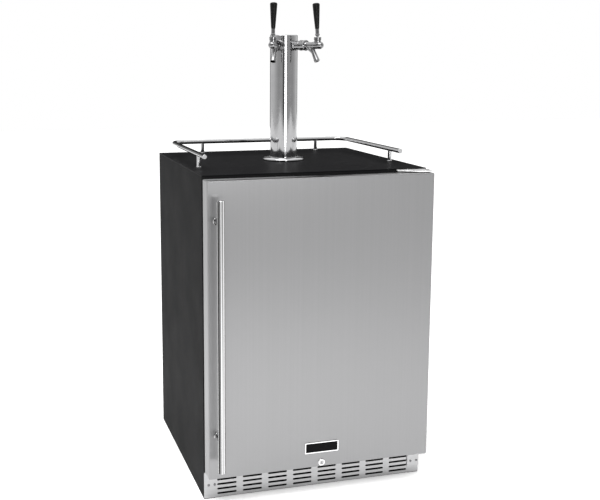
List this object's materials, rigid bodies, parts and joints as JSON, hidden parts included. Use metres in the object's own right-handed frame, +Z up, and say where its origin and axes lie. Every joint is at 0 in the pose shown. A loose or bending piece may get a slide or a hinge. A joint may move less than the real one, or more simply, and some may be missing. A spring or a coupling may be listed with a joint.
{
  "type": "kegerator",
  "caption": "Undercounter keg refrigerator with a hinged door, bar handle, guard rail and a round draft tower with pull taps; door, lock, taps, feet, fans and gas controls move.",
  "frame": {"origin": "on the floor, under the middle of the cabinet's 605 x 570 mm footprint", "axes": "+Z up, -Y towards the person at the door, +X to that person's right, where the door's hinges are"},
  "size_m": [0.605, 0.6933, 1.2761],
  "materials": {
    "brushed_stainless": "satin",
    "polished_chrome": "polished",
    "grey_case_paint": "satin",
    "gloss_black_top": "gloss",
    "black_grip": "gloss",
    "black_rubber": "matte",
    "liner_plastic": "satin",
    "insulating_foam": "matte",
    "galvanised_steel": "satin",
    "machine_black": "satin",
    "black_moulding": "satin",
    "copper_tube": "satin",
    "aluminium": "satin",
    "brass": "satin",
    "beer_hose": "gloss",
    "gas_hose_red": "satin",
    "button_white": "satin"
  },
  "bodies": {
    "cabinet": {"cabinet_wrap": "grey_case_paint", "top_panel": "gloss_black_top", "back_panel": "galvanised_steel", "base_pan": "galvanised_steel", "foam_insulation": "insulating_foam", "inner_liner": "liner_plastic", "kick_grille": "brushed_stainless", "rear_cover": "grey_case_paint", "cord_gland": "black_rubber", "top_hinge_bracket": "brushed_stainless", "bottom_hinge_bracket": "brushed_stainless", "top_hinge_pin": "brushed_stainless", "bottom_hinge_pin": "brushed_stainless", "compressor": "machine_black", "condenser": "aluminium", "condenser_fan_shroud": "black_moulding", "suction_pipe": "copper_tube", "liquid_pipe": "copper_tube", "evaporator_plate": "aluminium", "evaporator_cover": "liner_plastic", "control_housing": "liner_plastic", "guard_rail": "polished_chrome", "tower_flange": "polished_chrome", "tower_column": "polished_chrome", "faucet_shank_left": "polished_chrome", "faucet_shank_right": "polished_chrome", "coupling_nut_left": "polished_chrome", "coupling_nut_right": "polished_chrome", "faucet_body_left": "polished_chrome", "faucet_body_right": "polished_chrome", "faucet_collar_left": "polished_chrome", "faucet_collar_right": "polished_chrome", "co2_cylinder": "aluminium", "co2_valve": "brass", "regulator_body": "brass", "beer_line_left": "beer_hose", "beer_line_right": "beer_hose", "gas_hose": "gas_hose_red"},
    "door": {"door_skin": "brushed_stainless", "door_foam": "insulating_foam", "door_inner_panel": "liner_plastic", "door_gasket": "black_rubber", "handle_bar": "brushed_stainless", "badge_plate": "polished_chrome", "lock_barrel": "polished_chrome"},
    "lock": {"lock_plug": "polished_chrome"},
    "left_tap": {"tap_lever_left": "polished_chrome", "tap_handle_left": "black_grip"},
    "right_tap": {"tap_lever_right": "polished_chrome", "tap_handle_right": "black_grip"},
    "left_plunger": {"faucet_plunger_left": "brushed_stainless"},
    "right_plunger": {"faucet_plunger_right": "brushed_stainless"},
    "left_foot": {"levelling_foot_left": "black_rubber"},
    "right_foot": {"levelling_foot_right": "black_rubber"},
    "condenser_fan_wheel": {"condenser_fan": "black_moulding"},
    "circulation_fan_wheel": {"circulation_fan": "liner_plastic"},
    "colder_key": {"colder_button": "button_white"},
    "warmer_key": {"warmer_button": "button_white"},
    "gas_wheel": {"co2_handwheel": "black_moulding"},
    "pressure_knob": {"regulator_knob": "black_moulding"}
  },
  "joints": [
    {"name": "door_swing", "type": "hinge", "parent": "cabinet", "child": "door", "pos_m": [0.2895, -0.318, 0.076], "axis": [0, 0, 1], "range_deg": [0, 115]},
    {"name": "lock_turn", "type": "hinge", "parent": "door", "child": "lock", "pos_m": [0, -0.338, 0.088], "axis": [0, -1, 0], "range_deg": [0, 90]},
    {"name": "left_tap_lever", "type": "hinge", "parent": "cabinet", "child": "left_tap", "pos_m": [-0.06285, -0.10058, 1.18], "axis": [0.848, -0.5299, 0], "range_deg": [0, 26]},
    {"name": "right_tap_lever", "type": "hinge", "parent": "cabinet", "child": "right_tap", "pos_m": [0.06285, -0.10058, 1.18], "axis": [0.848, 0.5299, 0], "range_deg": [0, 26]},
    {"name": "left_plunger_slide", "type": "slide", "parent": "cabinet", "child": "left_plunger", "axis": [0.5299, 0.848, 0], "range_m": [0, 0.007]},
    {"name": "right_plunger_slide", "type": "slide", "parent": "cabinet", "child": "right_plunger", "axis": [-0.5299, 0.848, 0], "range_m": [0, 0.007]},
    {"name": "left_foot_screw", "type": "slide", "parent": "cabinet", "child": "left_foot", "axis": [0, 0, -1], "range_m": [0, 0.015]},
    {"name": "right_foot_screw", "type": "slide", "parent": "cabinet", "child": "right_foot", "axis": [0, 0, -1], "range_m": [0, 0.015]},
    {"name": "condenser_fan_spin", "type": "hinge", "parent": "cabinet", "child": "condenser_fan_wheel", "pos_m": [-0.1133, 0.2245, 0.0868], "axis": [1, 0, 0], "continuous": true},
    {"name": "circulation_fan_spin", "type": "hinge", "parent": "cabinet", "child": "circulation_fan_wheel", "pos_m": [-0.0675, 0.2178, 0.675], "axis": [0, 1, 0], "continuous": true},
    {"name": "colder_press", "type": "slide", "parent": "cabinet", "child": "colder_key", "axis": [0, 1, 0], "range_m": [0, 0.0015], "stiffness_N_per_m": 600},
    {"name": "warmer_press", "type": "slide", "parent": "cabinet", "child": "warmer_key", "axis": [0, 1, 0], "range_m": [0, 0.0015], "stiffness_N_per_m": 600},
    {"name": "gas_wheel_turn", "type": "hinge", "parent": "cabinet", "child": "gas_wheel", "pos_m": [0.192, 0.19, 0.6859], "axis": [0, 0, 1], "range_deg": [0, 540]},
    {"name": "pressure_knob_turn", "type": "hinge", "parent": "cabinet", "child": "pressure_knob", "pos_m": [0.13, 0.1507, 0.6606], "axis": [0, -1, 0], "range_deg": [0, 720]}
  ],
  "couplings": [
    {"joint": "left_plunger_slide", "follows": "left_tap_lever", "m_per_rad": 0.0147},
    {"joint": "right_plunger_slide", "follows": "right_tap_lever", "m_per_rad": 0.0147}
  ]
}
